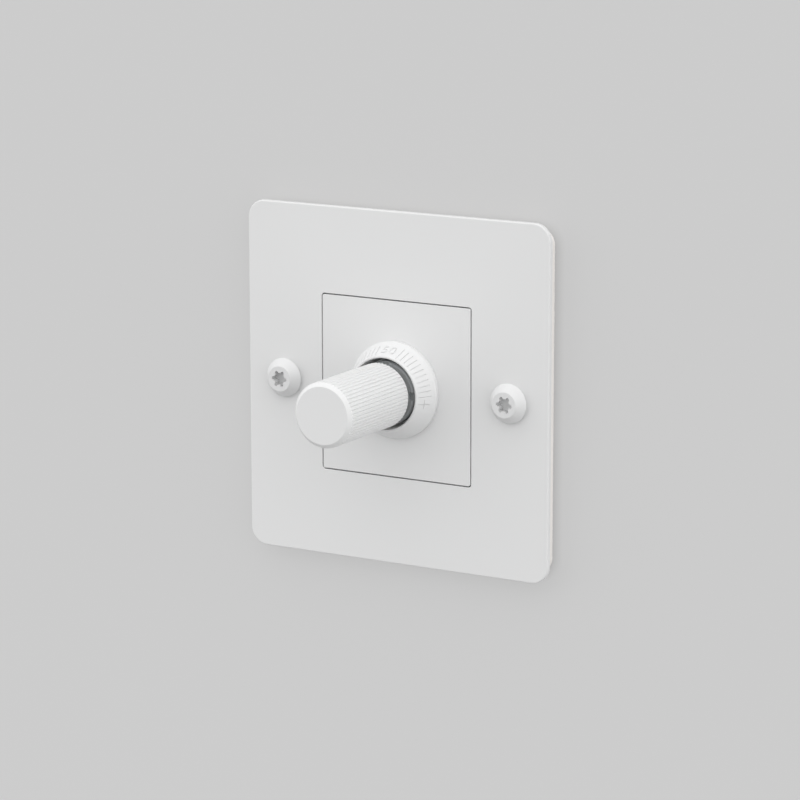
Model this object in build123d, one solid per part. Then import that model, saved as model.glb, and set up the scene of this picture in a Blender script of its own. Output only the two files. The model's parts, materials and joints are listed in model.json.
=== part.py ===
from build123d import *
from math import cos, radians, sin, sqrt
import os

# Wall dimmer switch with a turn-and-push knob, in millimetres, +Z up.
# The wall is the plane y = 0, the room is on the -Y side, and the origin is midway between
# the two fixing screws. Everything behind the wall plane fits a round device box of 60 mm.

# Face plate and the insert that fills its aperture
plate_w = 80.0              # face plate, left to right
plate_h = 83.5              # face plate, bottom to top
plate_t = 1.2
plate_corner = 4.3
plate_edge = 0.35           # rounding of the edge that faces the room
stand_off = 5.0             # wall to the face plate's front
aperture_w = 40.0
aperture_h = 42.2
aperture_corner = 0.8
groove = 0.3                # visible gap round the insert
insert_edge = 0.15

# Frame, carrier and adapter behind the face plate
frame_inset = 1.8           # the frame's edge lies this far inside the face plate's
frame_corner = 3.5
carrier_w = 70.0
carrier_h = 70.0
carrier_t = 1.5
carrier_corner = 3.0
seat_play = 0.25            # play of a part in its recess
adapter_lap = 3.8           # adapter rim that backs the face plate round the aperture
adapter_rim = 6.0
adapter_corner = 2.0
adapter_hub_r = 9.0
adapter_rib = 3.0
hook_w = 4.0
hook_t = 1.4
hook_z = 17.0
hook_barb = 0.5

# Fixing screws
screw_pitch = 60.0          # centres of the device box's two screw posts
screw_r = 1.75              # over the thread
screw_neck_r = 1.55         # plain neck from the head to the wall
screw_length = 23.0         # under the head
screw_head_r = 4.65
screw_face_r = 3.05
screw_seat_r = 4.15         # the head narrows again towards the plate
screw_head_h = 3.0
screw_rim_h = 0.8           # height of the head's widest place above the plate
screw_play = 0.4
drive_r = 2.05              # six-lobe recess, centre to the end of a lobe
drive_lobe_r = 0.46
drive_core_r = 1.48
drive_depth = 2.0
screw_turns = (-3.0, -4.5)  # how far the left and right screw happen to be turned
slot_length = 7.0           # carrier's slots, end to end

# Dial ring, sizes from the insert's front
ring_r = 11.5
ring_skirt_h = 1.2
ring_lip = 0.3              # step between the skirt and the sloping face
ring_rim_r = 8.85           # where the sloping face meets the rim
ring_h = 5.8
ring_mouth_r = 8.4
ring_floor_r = 7.8
ring_floor_t = 1.0
ring_turn = 2.5             # how far the ring sits turned, clockwise
tick_count = 11             # on each side of the scale's middle
tick_first = 17.5           # degrees from the middle to the first tick
tick_step = 7.0
tick_w = 0.22
tick_depth = 0.16
tick_short = 3.2            # lengths down the slope
tick_long = 3.7
tick_rise = 0.2             # the marks sit this far above the slope's middle
sign_turn = 98.0            # degrees from the middle to the plus and minus signs
sign_length = 3.2
sign_width = 2.4

# Bush, nut and washer that clamp the dimmer's front together
bush_r = 5.0
bush_flange_r = 7.0
bush_flange_t = 1.2
bush_end = 0.4              # thread that stands out of the nut
bush_play = 0.15
washer_r = 6.6
washer_t = 0.5
washer_teeth = 12
washer_tip = 0.4            # share of a tooth's pitch that is its tip
nut_r = 7.5
nut_t = 3.2
nut_edge = 0.4
nut_slots = 4               # for the spanner
nut_slot_w = 1.8
nut_slot_depth = 1.2

# Knob, with heights counted from the face plate's front
knob_gap = 6.7
knob_length = 26.3
knob_rear_r = 7.65
knob_front_r = 7.6
knob_chamfer = 0.95
knob_wall = 1.5
knob_cap_t = 2.0
flute_count = 54
flute_depth = 0.3
flute_land = 0.45           # share of a flute's pitch that is flat land
hub_r = 5.2
hub_inset = 0.8             # the hub ends this far inside the knob's rear
hub_rib_t = 1.0
hub_rib_inset = 4.0
bushing_r = 4.1
grip_ring_t = 0.4
grip_ring_w = 2.5

# Spindle and its clip
spindle_r = 3.0
spindle_flat = 2.3          # axis to the flat
spindle_edge = 0.3
spindle_play = 0.05         # running fit in the bush and in the rotor
push_travel = 1.5
clip_r = 4.6
clip_t = 0.6
clip_groove_r = 2.4
clip_mouth = 3.6            # opening through which the clip snaps on
clip_notch_turn = 55.0      # degrees from its back to the pliers' notches
slide_gap = 0.1             # between pieces that only push on each other

# Rotary control
case_r = 9.0
case_wall = 1.0
case_window_r = 5.4
rotor_r = 7.3
rotor_disc_t = 1.8
rotor_hub_r = 4.2
rotor_gap = 0.35
wiper_h = 2.0
wiper_t = 0.3
wiper_w = 2.4
track_t = 1.4
track_gap = 0.3
pivot_play = 0.1

# Push switch behind the rotary control
switch_w = 12.0
switch_wall = 1.0
switch_bore_r = 4.4
switch_depth = 7.6
plunger_t = 1.0
plunger_tail_r = 1.5
plunger_tail = 2.0
bridge_t = 0.3
spring_wire_r = 0.22
spring_r = 2.1
spring_turns = 4
post_r = 0.45
post_x = 3.1
post_gap = 0.3              # bridge to the posts with the knob pushed in

# Housing behind the wall plane
housing_w = 44.0
housing_depth = 28.0
housing_wall = 1.8
housing_chamfer = 6.5
housing_edge = 1.0
vent_count = 5              # cooling slots in the roof, over the heat sink
vent_pitch = 5.2
vent_w = 1.6
vent_front_y = 5.0
vent_length = 15.0
boss_r = 2.2
boss_x = 17.6
boss_z = 12.4
housing_screw_r = 1.2
housing_screw_head_r = 2.2
housing_screw_head_h = 1.2
housing_screw_length = 12.0

# Circuit board and what is soldered to it
board_t = 1.6
board_play = 0.3
capacitor_w = 7.0
capacitor_h = 15.0
capacitor_depth = 11.0
capacitor_x = -15.8
capacitor_edge = 0.5
small_cap_r = 4.0
small_cap_depth = 9.5
small_cap_x = 9.5
low_row_z = -15.0
choke_core_r = 2.2
choke_core_length = 16.0
choke_x = -5.5
choke_wire = 1.3
choke_turns = 8
choke_groove = 0.25         # depth between two turns
choke_play = 0.25           # winding to the core's saddle
sink_w = 24.0
sink_t = 1.5
sink_foot = 7.5
sink_depth = 14.5
sink_wall_gap = 0.5
transistor_w = 10.0
transistor_t = 4.4
transistor_body = 8.6
transistor_tab = 6.0
transistor_tab_t = 1.3
transistor_pitch = 12.6
lead_t = 0.7
fuse_r = 2.6
fuse_length = 20.0
fuse_cap = 5.0
fuse_x = 15.8
fuse_z = 3.0
fuse_clip_w = 2.2
fuse_clip_t = 0.5
fuse_clip_mouth = 4.2       # opening between the clip's springs
chip_w = 10.0
chip_h = 4.0
chip_t = 1.5
chip_z = 8.0
chip_legs = 8

# Wire terminals on the back of the board
pole_count = 3
pole_pitch = 9.0
terminal_wall = 0.8
clamp_w = 6.4
clamp_length = 7.6
clamp_t = 5.6
wire_r = 1.75
wire_entry_r = 2.1
terminal_screw_r = 1.45
terminal_head_r = 2.2
terminal_head_h = 1.1
terminal_slot = 0.6
driver_hole_r = 2.6

# Planes along the depth, worked out from the sizes above
front_y = -stand_off
plate_back_y = front_y + plate_t
carrier_front_y = -carrier_t
ring_floor_y = front_y - ring_floor_t
washer_front_y = ring_floor_y - washer_t
nut_front_y = washer_front_y - nut_t
bush_front_y = nut_front_y - bush_end
knob_rear_y = front_y - knob_gap
knob_front_y = knob_rear_y - knob_length
clip_front_y = bush_flange_t + spindle_play
rotor_front_y = clip_front_y + clip_t + push_travel + rotor_gap
rotor_back_y = rotor_front_y + rotor_disc_t
track_front_y = rotor_back_y + wiper_h + track_gap
case_back_y = track_front_y + track_t
spindle_back_y = case_back_y + switch_wall + slide_gap
plunger_front_y = spindle_back_y + slide_gap
plunger_back_y = plunger_front_y + plunger_t
board_front_y = case_back_y + switch_depth
board_back_y = board_front_y + board_t
spring_back_y = board_front_y - switch_wall
housing_inner_y = housing_depth - housing_wall
half_inner = housing_w / 2 - housing_wall
aperture_back_w = aperture_w + 2 * adapter_lap
aperture_back_h = aperture_h + 2 * adapter_lap


def upright(y):
    # Sketch plane that faces the room: sketch x is +X, sketch y is +Z
    return Plane.XZ.offset(-y)


def slab(outline, front, back):
    return extrude(upright(back) * outline, back - front)


def turned(*profile):
    # Corners are (radius, y), turned about the knob's axis
    return revolve(make_face(Polyline(*profile, close=True)), Axis.Y)


def tube(outer_r, inner_r, front, back):
    return slab(Circle(outer_r) - Circle(inner_r), front, back)


def box(x0, x1, y0, y1, z0, z1):
    centre = ((x0 + x1) / 2, (y0 + y1) / 2, (z0 + z1) / 2)
    return Pos(*centre) * Box(x1 - x0, y1 - y0, z1 - z0)


def rod_up(x, y, r, z0, z1):
    return Pos(x, y, (z0 + z1) / 2) * Cylinder(r, z1 - z0)


def rod_across(y, z, r, x0, x1):
    return Pos((x0 + x1) / 2, y, z) * Rot(0, 90, 0) * Cylinder(r, x1 - x0)


def polar(r, degrees):
    return (r * cos(radians(degrees)), r * sin(radians(degrees)))


def d_outline(r, flat):
    return Circle(r) - Pos(0, flat + r) * Rectangle(3 * r, 2 * r)


def screw_places():
    return [(-screw_pitch / 2, 0), (screw_pitch / 2, 0)]


def round_front(piece, radius):
    # Rounds the outline of a piece where it faces the room
    face = piece.faces().sort_by(Axis.Y)[0]
    return fillet(face.outer_wire().edges(), radius)


def make_face_plate():
    outline = RectangleRounded(plate_w, plate_h, plate_corner)
    outline -= RectangleRounded(aperture_w, aperture_h, aperture_corner)
    for x, z in screw_places():
        outline -= Pos(x, z) * Circle(screw_r + screw_play)
    return round_front(slab(outline, front_y, plate_back_y), plate_edge)


def make_insert_plate():
    corner = aperture_corner - groove
    outline = RectangleRounded(aperture_w - 2 * groove, aperture_h - 2 * groove, corner)
    outline -= Circle(bush_r + bush_play)
    return round_front(slab(outline, front_y, plate_back_y), insert_edge)


def make_backing_frame():
    width = plate_w - 2 * frame_inset
    height = plate_h - 2 * frame_inset
    frame = slab(RectangleRounded(width, height, frame_corner), plate_back_y, 0)
    hole_w = aperture_back_w + 2 * seat_play
    hole_h = aperture_back_h + 2 * seat_play
    opening = RectangleRounded(hole_w, hole_h, adapter_corner)
    frame -= slab(opening, plate_back_y, 0)
    pocket = RectangleRounded(carrier_w + 2 * seat_play, carrier_h + 2 * seat_play, carrier_corner)
    frame -= slab(pocket, carrier_front_y, 0)
    for x, z in screw_places():
        frame -= slab(Pos(x, z) * Circle(screw_r + screw_play), plate_back_y, 0)
    return frame


def make_adapter_frame():
    outline = RectangleRounded(aperture_back_w, aperture_back_h, adapter_corner)
    window = Rectangle(aperture_back_w - 2 * adapter_rim, aperture_back_h - 2 * adapter_rim)
    window -= Rectangle(aperture_back_w, adapter_rib)
    window -= Rectangle(adapter_rib, aperture_back_h)
    window -= Circle(adapter_hub_r)
    outline -= window + Circle(bush_r + bush_play)
    for side in (-1, 1):
        outline -= Pos(side * boss_x, -side * boss_z) * Circle(housing_screw_head_r + seat_play)
    adapter = slab(outline, plate_back_y, carrier_front_y)
    for side in (-1, 1):
        z = side * hook_z
        leg = box(-hook_w / 2, hook_w / 2, carrier_front_y, hook_t, z - hook_t / 2, z + hook_t / 2)
        tip_z = z + side * (hook_t + hook_barb) / 2
        half = hook_barb / 2
        barb = box(-hook_w / 2, hook_w / 2, slide_gap, hook_t, tip_z - half, tip_z + half)
        adapter += leg + barb
    return adapter


def make_carrier_plate():
    outline = RectangleRounded(carrier_w, carrier_h, carrier_corner)
    outline -= Circle(bush_r + bush_play)
    slot = SlotOverall(slot_length, 2 * (screw_r + screw_play))
    half = screw_pitch / 2
    for side in (-1, 1):
        outline -= Pos(side * half, 0) * Rot(0, 0, 90) * slot
        outline -= Pos(0, side * half) * slot
        hook_room = hook_t + 2 * (hook_barb + seat_play)
        outline -= Pos(0, side * hook_z) * Rectangle(hook_w + 2 * seat_play, hook_room)
        outline -= Pos(side * boss_x, -side * boss_z) * Circle(housing_screw_r + seat_play)
    return slab(outline, carrier_front_y, 0)


def six_lobe(turn):
    outline = Circle(drive_core_r)
    for i in range(6):
        outline += Pos(*polar(drive_r - drive_lobe_r, turn + 60 * i)) * Circle(drive_lobe_r)
    return outline


def make_fixing_screw(x, turn):
    face_y = front_y - screw_head_h
    rim_y = front_y - screw_rim_h
    end_y = front_y + screw_length
    tip_r = screw_r / 3
    tip_y = end_y - screw_r
    screw = turned((0, face_y), (screw_face_r, face_y), (screw_head_r, rim_y), (screw_seat_r, front_y),
                   (screw_neck_r, front_y), (screw_neck_r, 0), (screw_r, 0), (screw_r, tip_y),
                   (tip_r, end_y), (0, end_y))
    screw -= slab(six_lobe(turn), face_y, face_y + drive_depth)
    return Pos(x, 0, 0) * screw


def slope_cut(degrees, length, width):
    # A mark cut into the dial ring's sloping face: length runs down the slope, and the
    # place is in degrees clockwise from the scale's middle
    foot = Vector(ring_r - ring_lip, front_y - ring_skirt_h - ring_lip)
    head = Vector(ring_rim_r, front_y - ring_h)
    upward = (head - foot).normalized()
    outward = Vector(-upward.Y, upward.X) * -1
    place = (head + foot) / 2 + upward * tick_rise
    on_slope = Plane(origin=place - outward * tick_depth, x_dir=upward, z_dir=outward)
    mark = extrude(on_slope * Rectangle(length, width), 2 * tick_depth)
    return Rot(0, degrees + ring_turn - 90, 0) * mark


def make_dial_ring():
    top_y = front_y - ring_skirt_h
    rim_y = front_y - ring_h
    bevel = (ring_rim_r - ring_mouth_r) / 2
    ring = turned((bush_r + bush_play, front_y), (ring_r, front_y), (ring_r, top_y),
                  (ring_r - ring_lip, top_y - ring_lip), (ring_rim_r, rim_y),
                  (ring_mouth_r + bevel, rim_y), (ring_mouth_r, rim_y + bevel),
                  (ring_floor_r, ring_floor_y), (bush_r + bush_play, ring_floor_y))
    for side in (-1, 1):
        for i in range(tick_count):
            length = tick_long if i in (0, tick_count - 1) else tick_short
            ring -= slope_cut(side * (tick_first + tick_step * i), length, tick_w)
        ring -= slope_cut(side * sign_turn, sign_length, tick_w)
    return ring - slope_cut(sign_turn, tick_w, sign_width)


def make_threaded_bush():
    tip = bush_end
    return turned((spindle_r + spindle_play, bush_front_y), (bush_r - tip, bush_front_y),
                  (bush_r, bush_front_y + tip), (bush_r, 0), (bush_flange_r, 0),
                  (bush_flange_r, bush_flange_t), (spindle_r + spindle_play, bush_flange_t))


def make_lock_washer():
    step = 360 / washer_teeth
    root_r = (washer_r + bush_r) / 2
    corners = []
    for i in range(washer_teeth):
        corners.append(polar(washer_r, (i - washer_tip / 2) * step))
        corners.append(polar(washer_r, (i + washer_tip / 2) * step))
        corners.append(polar(root_r, (i + 0.5) * step))
    outline = make_face(Polyline(*corners, close=True)) - Circle(bush_r + bush_play)
    return slab(outline, washer_front_y, ring_floor_y)


def make_bush_nut():
    inner_r = bush_r + spindle_play
    nut = turned((inner_r, nut_front_y), (nut_r - nut_edge, nut_front_y), (nut_r, nut_front_y + nut_edge),
                 (nut_r, washer_front_y), (inner_r, washer_front_y))
    for i in range(nut_slots):
        slot = Pos(*polar(nut_r, 360 * i / nut_slots)) * Rot(0, 0, 360 * i / nut_slots)
        nut -= slab(slot * Rectangle(2 * nut_slot_depth, nut_slot_w), nut_front_y, washer_front_y)
    return nut


def fluted_outline(tip_r):
    pitch = 360 / flute_count
    land = pitch * flute_land
    corners = []
    for i in range(flute_count):
        corners.append(polar(tip_r, i * pitch - land / 2))
        corners.append(polar(tip_r, i * pitch + land / 2))
        corners.append(polar(tip_r - flute_depth, (i + 0.5) * pitch))
    return make_face(Polyline(*corners, close=True))


def knob_radius(y):
    share = (knob_rear_y - y) / knob_length
    return knob_rear_r + (knob_front_r - knob_rear_r) * share


def make_knob():
    rear = upright(knob_rear_y) * fluted_outline(knob_rear_r)
    front = upright(knob_front_y) * fluted_outline(knob_front_r)
    knob = loft([rear, front], ruled=True)
    chamfer_y = knob_front_y + knob_chamfer
    envelope = turned((0, knob_rear_y), (knob_rear_r, knob_rear_y), (knob_radius(chamfer_y), chamfer_y),
                      (knob_front_r - knob_chamfer, knob_front_y), (0, knob_front_y))
    knob &= envelope
    cap_y = knob_front_y + knob_cap_t
    hub_back_y = knob_rear_y - hub_inset
    hollow = turned((0, knob_rear_y), (knob_rear_r - knob_wall, knob_rear_y),
                    (knob_radius(cap_y) - knob_wall, cap_y), (0, cap_y))
    ribs = Part() + [Rot(0, 90 * i, 0) * box(bushing_r, knob_front_r - knob_wall / 2, cap_y,
                                             knob_rear_y - hub_rib_inset, -hub_rib_t / 2, hub_rib_t / 2)
                     for i in range(4)]
    hub = tube(hub_r, bushing_r, cap_y, hub_back_y)
    return knob - hollow + hub + (ribs - slab(Circle(bushing_r), knob_front_y, knob_rear_y))


def spindle_front_y():
    return knob_front_y + knob_cap_t


def make_knob_bushing():
    bore = d_outline(spindle_r, spindle_flat)
    hub_back_y = knob_rear_y - hub_inset
    return slab(Circle(bushing_r) - bore, spindle_front_y(), hub_back_y)


def make_grip_ring():
    back_y = knob_rear_y - hub_inset
    return tube(hub_r + grip_ring_t, hub_r, back_y - grip_ring_w, back_y)


def make_spindle():
    keyed = d_outline(spindle_r, spindle_flat)
    knob_end = slab(keyed, spindle_front_y(), knob_rear_y - hub_inset)
    middle = slab(Circle(spindle_r), knob_rear_y - hub_inset, clip_front_y)
    neck = slab(Circle(clip_groove_r), clip_front_y, clip_front_y + clip_t)
    rotor_end = slab(keyed, clip_front_y + clip_t, spindle_back_y)
    spindle = knob_end + middle + neck + rotor_end
    return chamfer(spindle.faces().sort_by(Axis.Y)[-1].edges(), spindle_edge)


def make_spindle_clip():
    outline = Circle(clip_r) - Circle(clip_groove_r)
    outline -= Pos(0, -clip_r) * Rectangle(clip_mouth, 2 * clip_r)
    for side in (-1, 1):
        outline -= Pos(*polar(clip_r, 90 + side * clip_notch_turn)) * Circle(clip_r - spindle_r)
    return slab(outline, clip_front_y, clip_front_y + clip_t)


def make_control_case():
    case = slab(Circle(case_r), bush_flange_t, case_back_y)
    front_wall_y = bush_flange_t + case_wall
    case -= slab(Circle(case_r - case_wall), front_wall_y, case_back_y)
    case -= slab(Circle(case_window_r), bush_flange_t, front_wall_y)
    return case


def make_track_board():
    outline = Circle(case_r - case_wall) - Circle(rotor_hub_r + pivot_play)
    return slab(outline, track_front_y, case_back_y)


def make_control_rotor():
    bore = d_outline(spindle_r + spindle_play, spindle_flat + spindle_play)
    rotor = slab(Circle(rotor_r) - bore, rotor_front_y, rotor_back_y)
    rotor += slab(Circle(rotor_hub_r) - bore, rotor_back_y, case_back_y)
    return rotor


def make_wiper_spring():
    y0 = rotor_back_y
    y1 = rotor_back_y + wiper_h
    inner = rotor_hub_r + pivot_play
    foot = box(inner, rotor_r, y0, y0 + wiper_t, -wiper_w / 2, wiper_w / 2)
    reach = rotor_r - inner
    arm = Polyline((rotor_r - wiper_t, y0), (rotor_r, y0), (inner + reach / 2, y1), (inner + reach / 3, y1),
                   close=True)
    arms = Part()
    for side in (-1, 1):
        z = side * wiper_w / 3
        arms += Pos(0, 0, z - wiper_w / 6) * extrude(make_face(arm), wiper_w / 3)
    return foot + arms


def make_switch_case():
    outline = RectangleRounded(switch_w, switch_w, switch_wall)
    case = slab(outline, case_back_y, board_front_y)
    case -= slab(Circle(switch_bore_r), case_back_y, spring_back_y)
    for side in (-1, 1):
        case -= slab(Pos(side * post_x, 0) * Circle(post_r), spring_back_y, board_front_y)
    return case


def make_switch_plunger():
    tail_y = plunger_back_y + plunger_tail
    plunger_r = switch_bore_r - slide_gap
    return turned((0, plunger_front_y), (plunger_r, plunger_front_y), (plunger_r, plunger_back_y),
                  (plunger_tail_r, plunger_back_y), (plunger_tail_r, tail_y), (0, tail_y))


def make_contact_bridge():
    outline = Rectangle(2 * (post_x + post_r), 4 * post_r) - Circle(plunger_tail_r)
    outline += Circle(spring_r + spring_wire_r) - Circle(plunger_tail_r)
    return slab(outline, plunger_back_y, plunger_back_y + bridge_t)


def make_fixed_contacts():
    tip_y = plunger_back_y + bridge_t + push_travel + post_gap
    return Part() + [slab(Pos(side * post_x, 0) * Circle(post_r), tip_y, board_front_y) for side in (-1, 1)]


def make_return_spring():
    start = plunger_back_y + bridge_t + spring_wire_r
    end = spring_back_y - spring_wire_r
    coil = Helix((end - start) / spring_turns, end - start, spring_r, (0, start, 0), (0, 1, 0))
    wire = Plane(origin=coil @ 0, z_dir=coil % 0) * RegularPolygon(spring_wire_r, 6)
    return sweep(wire, coil)


def octagon(width, corner):
    return chamfer(Rectangle(width, width).vertices(), corner)


def pole_places():
    return [(i - (pole_count - 1) / 2) * pole_pitch for i in range(pole_count)]


def clamp_bottom_z():
    return -half_inner + terminal_wall


def clamp_middle_z():
    return clamp_bottom_z() + clamp_length / 2


def clamp_front_y():
    return board_back_y + terminal_wall


def wire_y():
    return clamp_front_y() + wire_r + terminal_wall


def make_module_housing():
    inner_chamfer = housing_chamfer - (2 - sqrt(2)) * housing_wall
    housing = slab(octagon(housing_w, housing_chamfer), 0, housing_depth)
    housing = fillet(housing.faces().sort_by(Axis.Y)[-1].edges(), housing_edge)
    housing -= slab(octagon(housing_w - 2 * housing_wall, inner_chamfer), 0, housing_inner_y)
    for side in (-1, 1):
        place = Pos(side * boss_x, -side * boss_z)
        web = Pos(side * (boss_x + boss_r), -side * boss_z) * Rectangle(2 * boss_r, boss_r)
        boss = slab(place * Circle(boss_r) + web, 0, housing_inner_y)
        housing += boss & slab(octagon(housing_w, housing_chamfer), 0, housing_inner_y)
        housing -= slab(place * Circle(housing_screw_r), 0, housing_screw_length)
    for i in range(vent_count):
        x = (i - (vent_count - 1) / 2) * vent_pitch
        vent = Pos(x, vent_front_y + vent_length / 2) * Rot(0, 0, 90) * SlotOverall(vent_length, vent_w)
        housing -= extrude(Plane.XY.offset(half_inner) * vent, housing_wall)
    for x in pole_places():
        housing -= rod_up(x, wire_y(), wire_entry_r, -housing_w / 2, -half_inner)
        housing -= slab(Pos(x, clamp_middle_z()) * Circle(driver_hole_r), housing_inner_y, housing_depth)
    return housing


def make_housing_screw(side):
    head_y = carrier_front_y - housing_screw_head_h
    end_y = carrier_front_y + housing_screw_length
    screw = turned((0, head_y), (housing_screw_head_r, head_y), (housing_screw_head_r, carrier_front_y),
                   (housing_screw_r, carrier_front_y), (housing_screw_r, end_y), (0, end_y))
    slot = Rectangle(2 * housing_screw_head_r, terminal_slot)
    screw -= slab(slot, head_y, head_y + housing_screw_head_h / 2)
    return Pos(side * boss_x, 0, -side * boss_z) * screw


def make_circuit_board():
    width = housing_w - 2 * housing_wall - 2 * board_play
    outline = octagon(width, housing_chamfer - housing_wall / 2)
    for side in (-1, 1):
        outline -= Pos(side * boss_x, -side * boss_z) * Circle(boss_r + board_play)
        edge = Pos(side * (boss_x + boss_r), -side * boss_z)
        outline -= edge * Rectangle(2 * boss_r, boss_r + 2 * board_play)
    return slab(outline, board_front_y, board_back_y)


def make_film_capacitor():
    outline = Pos(capacitor_x, 0) * Rectangle(capacitor_w, capacitor_h)
    body = slab(outline, board_front_y - capacitor_depth, board_front_y)
    return chamfer(body.faces().sort_by(Axis.Y)[0].edges(), capacitor_edge)


def make_smoothing_capacitor():
    outline = Pos(small_cap_x, low_row_z) * Circle(small_cap_r)
    can = slab(outline, board_front_y - small_cap_depth, board_front_y)
    return chamfer(can.faces().sort_by(Axis.Y)[0].edges(), capacitor_edge)


def choke_y():
    return board_front_y - choke_core_r - choke_wire - slide_gap


def make_choke_core():
    half = choke_core_length / 2
    core = rod_across(choke_y(), low_row_z, choke_core_r, choke_x - half, choke_x + half)
    saddle = box(choke_x - half, choke_x + half, choke_y(), board_front_y,
                 low_row_z - choke_core_r / 2, low_row_z + choke_core_r / 2)
    wound = choke_turns * choke_wire / 2 + choke_play
    room = rod_across(choke_y(), low_row_z, choke_core_r + choke_wire + choke_play,
                      choke_x - wound, choke_x + wound)
    return core + (saddle - room)


def make_choke_winding():
    start = -choke_turns * choke_wire / 2
    low_r = choke_core_r + choke_wire - choke_groove
    corners = [(start, choke_core_r), (start, low_r)]
    for i in range(choke_turns):
        corners.append((start + (i + 0.5) * choke_wire, choke_core_r + choke_wire))
        corners.append((start + (i + 1) * choke_wire, low_r))
    corners.append((-start, choke_core_r))
    winding = revolve(make_face(Polyline(*corners, close=True)), Axis.X)
    return Pos(choke_x, choke_y(), low_row_z) * winding


def sink_z():
    # Underside of the heat sink's leg, where the transistors sit
    return half_inner - sink_wall_gap - sink_t


def make_heat_sink():
    half = sink_w / 2
    foot_z = sink_z() + sink_t - sink_foot
    foot = box(-half, half, 0, sink_t, foot_z, sink_z() + sink_t)
    half_hook = hook_w / 2 + seat_play
    foot -= box(-half_hook, half_hook, 0, sink_t, foot_z, hook_z + hook_t + hook_barb)
    leg = box(-half, half, 0, sink_depth, sink_z(), sink_z() + sink_t)
    return foot + leg


def make_power_transistor(x):
    body_back_y = sink_depth
    body_front_y = body_back_y - transistor_body
    half = transistor_w / 2
    body = box(x - half, x + half, body_front_y, body_back_y, sink_z() - transistor_t, sink_z())
    tab_front_y = body_front_y - transistor_tab / 2
    tab = box(x - half, x + half, tab_front_y, body_front_y, sink_z() - transistor_tab_t, sink_z())
    tab -= rod_up(x, body_front_y - transistor_tab / 4, transistor_tab / 6, sink_z() - transistor_t, sink_z())
    leads = Part()
    for i in (-1, 0, 1):
        lead_x = x + i * transistor_w / 4
        mid_z = sink_z() - transistor_t / 2
        leads += box(lead_x - lead_t / 2, lead_x + lead_t / 2, body_back_y, board_front_y,
                     mid_z - lead_t / 2, mid_z + lead_t / 2)
    return body + tab + leads


def fuse_y():
    return board_front_y - fuse_r - 2 * fuse_clip_t


def make_fuse():
    half = fuse_length / 2
    tube_part = rod_up(fuse_x, fuse_y(), fuse_r - slide_gap, fuse_z - half, fuse_z + half)
    for side in (-1, 1):
        ends = sorted((fuse_z + side * half, fuse_z + side * (half - fuse_cap)))
        tube_part += rod_up(fuse_x, fuse_y(), fuse_r, ends[0], ends[1])
    return tube_part


def make_fuse_clip(side):
    middle = fuse_z + side * (fuse_length / 2 - fuse_cap / 2)
    z0 = middle - fuse_clip_w / 2
    z1 = middle + fuse_clip_w / 2
    clip = rod_up(fuse_x, fuse_y(), fuse_r + fuse_clip_t, z0, z1)
    foot = box(fuse_x - fuse_r / 2, fuse_x + fuse_r / 2, fuse_y(), board_front_y, z0, z1)
    half_mouth = fuse_clip_mouth / 2
    mouth = box(fuse_x - half_mouth, fuse_x + half_mouth, fuse_y() - 2 * fuse_r, fuse_y(), z0, z1)
    return clip + foot - rod_up(fuse_x, fuse_y(), fuse_r, z0, z1) - mouth


def make_controller_chip():
    back_y = board_back_y + chip_t
    half_h = chip_h / 2
    body = box(-chip_w / 2, chip_w / 2, board_back_y + lead_t / 3, back_y, chip_z - half_h, chip_z + half_h)
    reach = half_h + 2 * lead_t
    pitch = chip_w / chip_legs
    for i in range(chip_legs):
        x = (i - (chip_legs - 1) / 2) * pitch
        body += box(x - pitch / 4, x + pitch / 4, board_back_y, board_back_y + lead_t,
                    chip_z - reach, chip_z + reach)
    return body


def make_terminal_block():
    width = pole_count * pole_pitch + 2 * terminal_wall - (pole_pitch - clamp_w - 2 * seat_play)
    top_z = clamp_bottom_z() + clamp_length + terminal_wall + seat_play
    block = box(-width / 2, width / 2, board_back_y, housing_inner_y, -half_inner + slide_gap, top_z)
    half = clamp_w / 2 + seat_play
    for x in pole_places():
        block -= box(x - half, x + half, clamp_front_y(), housing_inner_y, -half_inner, top_z - terminal_wall)
    return block


def make_terminal_clamp(x):
    bottom = clamp_bottom_z()
    clamp = box(x - clamp_w / 2, x + clamp_w / 2, clamp_front_y(), clamp_front_y() + clamp_t,
                bottom, bottom + clamp_length)
    clamp -= rod_up(x, wire_y(), wire_r, bottom, bottom + clamp_length)
    clamp -= slab(Pos(x, clamp_middle_z()) * Circle(terminal_screw_r), wire_y(), clamp_front_y() + clamp_t)
    return clamp


def make_terminal_screw(x):
    shank_y = wire_y() + wire_r + slide_gap
    head_y = clamp_front_y() + clamp_t
    back_y = head_y + terminal_head_h
    screw = turned((0, shank_y), (terminal_screw_r, shank_y), (terminal_screw_r, head_y),
                   (terminal_head_r, head_y), (terminal_head_r, back_y), (0, back_y))
    screw -= slab(Rectangle(2 * terminal_head_r, terminal_slot), back_y - terminal_head_h / 2, back_y)
    return Pos(x, 0, clamp_middle_z()) * screw


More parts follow.
